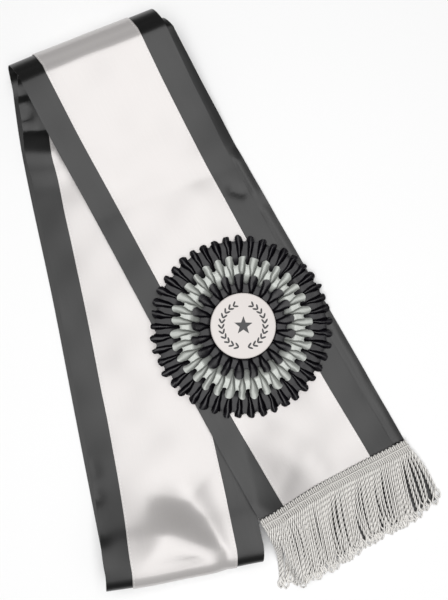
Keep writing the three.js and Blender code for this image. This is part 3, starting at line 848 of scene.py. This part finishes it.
flat = [tuple(v.co.xy) for v in leaves.vertices]
shapes = [tuple(p.vertices) for p in leaves.polygons]
middle, tips = len(flat), 2 * STAR["points"]
flat.append((0, 0))
for k in range(tips):
    reach, turn = (STAR["inner"] if k % 2 else STAR["outer"]) * MM, 2 * math.pi * k / tips
    flat.append((reach * math.sin(turn), reach * math.cos(turn)))
    shapes.append((middle, middle + 1 + (k + 1) % tips, middle + 1 + k))
sunk = [(x, y, (dome(math.hypot(x, y) / DISC["radius"] / MM) - PRINT_SUNK) * MM) for x, y in flat]
motif = mesh_object("printed_motif", sunk, shapes, ink)
thicken(motif, PRINT_THICK, 1.0)
put_on_rosette(motif, DISC)
motif.data.set_sharp_from_angle(angle=PRINT_SHARP)
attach(motif, "root")
print(motif.name, len(motif.data.polygons), "faces")

# %% [markdown]
# ## The card under the pleats
# The tiers are stitched to a card covered in black felt. It is all but hidden, so the solid from the
# CAD step keeps its place and only gets a finish.

# %% The card under the pleats
felt, tree, shader = material("pressed_black_felt", {"Roughness": 0.95})
where = add(tree, "ShaderNodeTexCoord")
grained(tree, shader, where.outputs["Object"], 700, 4, 0.5, 0.3, ("141415", "2c2c2d"))
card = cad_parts["rosette_card"]
card.data.materials.clear()
card.data.materials.append(felt)

# %% [markdown]
# ## Where the fringe runs
# The fringe is sewn on as a tape. Its header lies square across the end of limb A and runs a little
# past A's right edge, over limb B. From its lower edge hang the strands, which fan out to a line of
# tips on the table. The table of tips repeats the CAD's.

# %% Where the fringe runs
HEADER = {"width": 13, "thick": 2, "overhang": 13}
LOCK = {"thick": 2.6, "root": 2, "proud": 0.9, "parted": 0.25, "bend_from": 0.07, "bend": 1.6}
LEAVES_B = {"from": -13, "to": -6}
TIPS = [  # share of the header from its left, x, y
    (0, 56, -288), (0.17, 83.7, -279.3), (0.3, 101, -271.2), (0.45, 120.9, -260.8),
    (0.6, 142.3, -246.4), (0.78, 170.4, -232.1), (0.93, 194.6, -217.7), (1, 214, -202),
]
end_of_a = limb_rows("a", np.array([-76.0, 0.0, 76.0]))
down = end_of_a[0, 1, :2] - end_of_a[1, 1, :2]
down /= np.linalg.norm(down)
left_end = end_of_a[0, 0, :2]
header_span = (end_of_a[0, 2, :2] - left_end) * (BACKING_WIDTH + HEADER["overhang"]) / BACKING_WIDTH


def stand_off(limb, x, y, distance):
    """The height of a surface that stands off a limb by a distance square to it."""
    here = height(limb, x, y)
    slope = np.hypot(height(limb, x + 1, y) - here, height(limb, x, y + 1) - here)
    return here + distance * np.hypot(1, slope)


def header_point(along, drop, lift):
    """A point of the header: along it from the left, and below its lower edge by drop."""
    plan = left_end + np.multiply.outer(along, header_span) + np.multiply.outer(drop, down)
    z = stand_off("a", plan[..., 0], plan[..., 1], PLY / 2 + SEAM_GAP + HEADER["thick"] / 2 + lift)
    return np.concatenate([plan, z[..., None]], axis=-1)


def inside_b(x, y):
    end = LIMBS["b"][-1]
    turn = math.radians(end[2])
    return (x - end[0]) * math.cos(turn) + (y - end[1]) * math.sin(turn) + BACKING_WIDTH / 2


def strand_height(x, y, root_z, t):
    """How high a strand's middle lies: over limb B first, and then on the table."""
    clear = PLY / 2 + SEAM_GAP + LOCK["thick"] / 2 + LOCK["parted"] * bridge(x, y, "a")
    over = ease((inside_b(x, y) - LEAVES_B["from"]) / (LEAVES_B["to"] - LEAVES_B["from"]))
    rest = LOCK["thick"] / 2 + (stand_off("b", x, y, clear) - LOCK["thick"] / 2) * over
    above = root_z + LOCK["proud"]
    return above + (rest - above) * ease((t - LOCK["bend_from"]) * LOCK["bend"])


print("the header runs", round(float(np.linalg.norm(header_span))), "mm")

# %% [markdown]
# ## The header tape
# Tape and strands are made of silvery rayon, a soft thread with a sheen: mostly cloth, a little
# mirror. Where its plies meet, shade is painted into its colour: the finish reads an attribute
# called out, which tells how far from a cord's middle its skin lies, and darkens towards the middle
# as painted shade. A flat wall carries the tape.

# %% The header tape
# the darkest colour is painted shade, put where the plies meet in place of the shadow they cast on
# each other
BULLION = {"light": "eeece8", "deep": "d6d3cf", "painted_ply_shade": "5e5c59"}
TAPE_WALL, TAPE_POINTS = (-0.8, 0.1), (67, 6)
bullion, tree, shader = material("silver_rayon_bullion", {"Roughness": 0.42, "Metallic": 0.2})
where = add(tree, "ShaderNodeTexCoord")
lint = add(tree, "ShaderNodeTexNoise", {
    "Vector": where.outputs["Object"], "Scale": 900, "Detail": 3})
tone = add(tree, "ShaderNodeMix", {
    "Factor": lint, 6: linear(BULLION["deep"]), 7: linear(BULLION["light"])}, data_type="RGBA")
out = add(tree, "ShaderNodeAttribute", attribute_name="out")
# Painted shade: the colour goes dark towards a cord's middle, where its plies meet and shade each
# other.
open_to_light = add(tree, "ShaderNodeMapRange", {
    "Value": out.outputs["Fac"], "From Min": 0.25, "From Max": 0.85},
    interpolation_type="SMOOTHSTEP")
shaded = add(tree, "ShaderNodeMix", {
    "Factor": open_to_light, 6: linear(BULLION["painted_ply_shade"]), 7: tone.outputs[2]}, data_type="RGBA")
tree.links.new(shaded.outputs[2], shader.inputs["Base Color"])
grained(tree, shader, where.outputs["Object"], 2200, 2, 0.35, 0.2)

along = np.linspace(0, 1, TAPE_POINTS[0])
drops = np.linspace(-HEADER["width"], 0, TAPE_POINTS[1])
tape_rows = header_point(along[:, None] + 0 * drops, drops + 0 * along[:, None], 0)[::-1]
tape, _ = cloth("header_tape", tape_rows, normals_of(tape_rows), TAPE_WALL, drops, bullion)

print(tape.name, "is", len(tape.data.polygons), "faces")

# %% [markdown]
# ## A twisted cord
# Bullion is plies laid round each other. Geometry Nodes make it along any guide line: they wind
# copies of the line round its middle, open them into a loop at the end where one is asked for, and
# skin them with a round section. A whole number of half turns brings every end out flat.

# %% A twisted cord
cords, given = node_group("twisted_cords", {
    "Plies": "Int", "Ply Radius": "Float", "Lay Radius": "Float", "Twist Length": "Float",
    "Loop Length": "Float", "Loop Radius": "Float", "Step": "Float", "Sides": "Int",
    "Finish": "Material",
})
level = add(cords, "GeometryNodeSetCurveNormal", {"Curve": given["Geometry"]}, mode="Z_UP")
fine = add(cords, "GeometryNodeResampleCurve", {"Curve": level, "Length": given["Step"]},
           mode="LENGTH")
plies = add(cords, "GeometryNodeDuplicateElements", {"Geometry": fine, "Amount": given["Plies"]},
            domain="SPLINE")
middle = add(cords, "GeometryNodeInputPosition")
kept = add(cords, "GeometryNodeCaptureAttribute", {"Geometry": plies}, domain="POINT")
kept.capture_items.new("VECTOR", "Middle")
cords.links.new(middle.outputs[0], kept.inputs["Middle"])
spline = add(cords, "GeometryNodeSplineParameter").outputs["Length"]
whole = add(cords, "GeometryNodeSplineLength")
to_end = add(cords, "ShaderNodeMath", {0: whole, 1: spline}, operation="SUBTRACT")
straight = add(cords, "ShaderNodeMath", {0: whole, 1: given["Loop Length"]}, operation="SUBTRACT")
twisted = add(cords, "ShaderNodeMath", {0: spline, 1: straight}, operation="MINIMUM")
laps = add(cords, "ShaderNodeMath", {0: straight, 1: given["Twist Length"]}, operation="DIVIDE")
half_laps = add(cords, "ShaderNodeMath", {0: laps, 1: 0.5}, operation="SNAP")
gone = add(cords, "ShaderNodeMath", {0: twisted, 1: straight}, operation="DIVIDE")
turns = add(cords, "ShaderNodeMath", {0: gone, 1: half_laps}, operation="MULTIPLY")
ply_turn = add(cords, "ShaderNodeMath", {0: plies.outputs["Duplicate Index"], 1: given["Plies"]},
               operation="DIVIDE")
both = add(cords, "ShaderNodeMath", {0: turns, 1: ply_turn}, operation="ADD")
angle = add(cords, "ShaderNodeMath", {0: both, 1: 2 * math.pi}, operation="MULTIPLY")
into_loop = add(cords, "ShaderNodeMapRange", {"Value": to_end, "From Max": given["Loop Length"]})
half_turn = add(cords, "ShaderNodeMath", {0: into_loop, 1: math.pi}, operation="MULTIPLY")
bulge = add(cords, "ShaderNodeMath", {0: half_turn}, operation="SINE")
opened = add(cords, "ShaderNodeMath", {0: bulge, 1: given["Loop Radius"]}, operation="MULTIPLY")
closing = add(cords, "ShaderNodeMapRange", {
    "Value": into_loop, "From Min": 0, "From Max": 0.3, "To Max": given["Lay Radius"]})
spread = add(cords, "ShaderNodeMath", {0: opened, 1: closing}, operation="ADD")
tangent = add(cords, "GeometryNodeInputTangent")
normal = add(cords, "GeometryNodeInputNormal")
beside = add(cords, "ShaderNodeVectorRotate", {"Vector": normal, "Axis": tangent, "Angle": angle})
out = add(cords, "ShaderNodeVectorMath", {0: beside, "Scale": spread}, operation="SCALE")
laid = add(cords, "GeometryNodeSetPosition", {"Geometry": kept.outputs["Geometry"], "Offset": out})
section = add(cords, "GeometryNodeCurvePrimitiveCircle", {
    "Radius": given["Ply Radius"], "Resolution": given["Sides"]})
tube = add(cords, "GeometryNodeCurveToMesh", {
    "Curve": laid, "Profile Curve": section, "Fill Caps": True})
# How far out from a cord's middle each point of its skin lies, stored for the finish's painted shade
# between plies.
skin = add(cords, "GeometryNodeInputPosition")
from_middle = add(cords, "ShaderNodeVectorMath", {0: skin, 1: kept.outputs["Middle"]},
                  operation="DISTANCE")
widest = add(cords, "ShaderNodeMath", {0: given["Ply Radius"], 1: given["Lay Radius"]},
             operation="ADD")
part_out = add(cords, "ShaderNodeMath", {0: from_middle.outputs["Value"], 1: widest},
               operation="DIVIDE")
marked = add(cords, "GeometryNodeStoreNamedAttribute", {
    "Geometry": tube, "Name": "out", "Value": part_out}, data_type="FLOAT", domain="POINT")
close_group(cords, marked, given["Finish"])


def cords_along(name, lines, cord, plies=2):
    """Twisted cords along lines of points in plan millimetres, as one mesh object of that name."""
    length, radius = cord.get("loop", (0.01, 0.0))
    mesh = grown(name, [(line + SHIFT) * MM for line in lines], cords, {
        "Plies": plies, "Ply Radius": cord["ply"] * MM, "Lay Radius": cord["lay"] * MM,
        "Twist Length": cord["twist"] * MM, "Loop Length": length * MM, "Loop Radius": radius * MM,
        "Step": cord["step"] * MM, "Sides": 6, "Finish": bullion})
    print(name, len(mesh.polygons), "faces")
    return in_scene(name, mesh)


print(cords.name, "has", len(cords.nodes), "nodes")

# %% [markdown]
# ## Ribs and a chain stitch
# The tape is woven in fine cross ribs, with a paler line of chain stitch along it and small loops
# along its top edge. All are cords, laid along lines a little above the flat wall.

# %% Ribs and a chain stitch
RIBS, RIB = 78, {"ply": 0.56, "lay": 0.5, "twist": 3.4, "step": 0.55, "proud": 0.5,
                 "above": (0.1, 0.9), "below": 0.2}  # every other rib is a loop above the tape
ribs = []
for i, share in enumerate(np.linspace(0.005, 0.995, RIBS)):
    steps = np.linspace(-HEADER["width"] - RIB["above"][i % 2], RIB["below"], 9)
    ribs.append(header_point(share + 0 * steps, steps, RIB["proud"]))
rib_mesh = cords_along("header_ribs", ribs, RIB)
CHAIN = {"from_top": 5.2, "ply": 0.62, "lay": 0.58, "twist": 4.4, "step": 0.5, "proud": 1.9}
places = np.linspace(0, 1, 120)
chain = header_point(places, CHAIN["from_top"] - HEADER["width"] + 0 * places, CHAIN["proud"])
chain_mesh = cords_along("header_chain", [chain], CHAIN)

# %% [markdown]
# ## The strands
# Bullion is a thread twisted on itself, so each strand is two plies wound round each other and ends
# in a small loop. The strands leave the header side by side and fall together in loose locks, some
# over others, which leaves dark gaps between the locks.

# %% The strands
STRANDS = 70
STRAND = {"ply": 0.84, "lay": 0.74, "twist": 9.6, "step": 1.1, "points": 30, "loop": (8, 1.9)}
LAYER = 1.5  # every other strand lies this much higher
BUNCH = {"reach": 0.003, "times": 9.5, "shift": 0.8, "stray": 0.0035}  # shares of the header
BOWS = ((3.2, 0.8, 0.25), (1.4, 6.3, 0))  # height, turns along the header, share of a turn ahead
STRAY = {"reach": (0.97, 1.05), "sway": (-0.9, 0.9), "phase": (0.9, 1.25), "layer": (-0.2, 0.4)}
LAST_TIP = (217, -198.5)  # one strand lies apart, along limb B's right edge
random.seed(11)
strands = []
for i in range(STRANDS + 1):
    apart = i == STRANDS
    share = min((i + 0.5) / STRANDS, 0.996)
    wave = math.sin(2 * math.pi * share * BUNCH["times"] + BUNCH["shift"])
    bunch = BUNCH["reach"] * wave * (1 - share ** 4)
    bunched = share + bunch + random.uniform(-BUNCH["stray"], BUNCH["stray"])
    tip = np.array(LAST_TIP) if apart else read(TIPS, np.array(min(max(bunched, 0), 1)))
    root = header_point(np.array(share), np.array(-LOCK["root"]), 0)
    run = tip - root[:2]
    side = np.array([-run[1], run[0]]) / np.linalg.norm(run)
    reach = 1 if apart else random.uniform(*STRAY["reach"])
    bow = sum(high * math.sin(2 * math.pi * (turns * share + ahead)) for high, turns, ahead in BOWS)
    sway, phase = bow + random.uniform(*STRAY["sway"]), random.uniform(*STRAY["phase"])
    layer = LAYER * (i % 2) + random.uniform(*STRAY["layer"])
    t = np.linspace(0, 1, STRAND["points"])
    plan = root[:2] + np.outer(t * reach, run) + np.outer(sway * np.sin(math.pi * t * phase), side)
    z = strand_height(plan[:, 0], plan[:, 1], root[2], t)
    z += layer * np.maximum(np.sin(math.pi * t), 0) ** 0.5
    strands.append(np.column_stack([plan, np.maximum(z, STRAND["ply"] + STRAND["lay"] + 0.1)]))
strand_mesh = cords_along("bullion_strands", strands, STRAND)
for piece in (tape, rib_mesh, chain_mesh, strand_mesh):
    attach(piece, "root")
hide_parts("bullion_fringe")

# %% [markdown]
# ## Stitches along the white ribbon
# White thread sews the white ribbon down along both of its edges. Each stitch is a short rounded bar
# that sinks into the cloth at its ends. Geometry Nodes lay one after the other along two lines that
# follow the white ribbon's own face through all its folds.

# %% Stitches along the white ribbon
STITCH = {"from_edge": 1.6, "pitch": 3.4, "long": 2.5, "wide": 0.5, "lift": 1.45}

thread, _, _ = material("white_polyester_thread", {
    "Base Color": linear("dcd9d6"), "Roughness": 0.5})

seam, given = node_group("stitches_on_line", {
    "Pitch": "Float", "Long": "Float", "Wide": "Float", "Finish": "Material"})
places = add(seam, "GeometryNodeResampleCurve", {
    "Curve": given["Geometry"], "Length": given["Pitch"]}, mode="LENGTH")
ball = add(seam, "GeometryNodeMeshUVSphere", {"Segments": 8, "Rings": 5, "Radius": 0.5})
extent = add(seam, "ShaderNodeCombineXYZ", {
    "X": given["Long"], "Y": given["Wide"], "Z": given["Wide"]})
ahead = add(seam, "GeometryNodeInputTangent")
facing = add(seam, "FunctionNodeAlignRotationToVector", {"Vector": ahead}, axis="X")
laid = add(seam, "GeometryNodeInstanceOnPoints", {
    "Points": places, "Instance": ball, "Rotation": facing, "Scale": extent})
close_group(seam, laid, given["Finish"])

face = (rows + normals * STITCH["lift"])[FIRST_WHITE_ROW + 1 : -1]
lines = []
for side in (-1, 1):
    at = side * (CENTRE_WIDTH / 2 - STITCH["from_edge"])
    j = int(np.searchsorted(STATIONS, at)) - 1
    part = (at - STATIONS[j]) / (STATIONS[j + 1] - STATIONS[j])
    lines.append((face[:, j] * (1 - part) + face[:, j + 1] * part + SHIFT) * MM)
stitches = in_scene("edge_stitches", grown("seam", lines, seam, {
    "Pitch": STITCH["pitch"] * MM, "Long": STITCH["long"] * MM, "Wide": STITCH["wide"] * MM,
    "Finish": thread}))
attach(stitches, "root")
print(stitches.name, len(stitches.data.polygons), "faces")

# %% [markdown]
# ## Sizes at the end
# Every piece of cloth is checked against the flat piece that it was cut from, and the size of the
# whole is written beside the CAD's.

# %% Sizes at the end
TURNED_IN = 6  # how much wider a tier's ribbon is than its ring, for its slope and its edge
for piece, tier, area in tiers:
    wide = (tier["loop"] - tier["inner"] + TURNED_IN) * MM
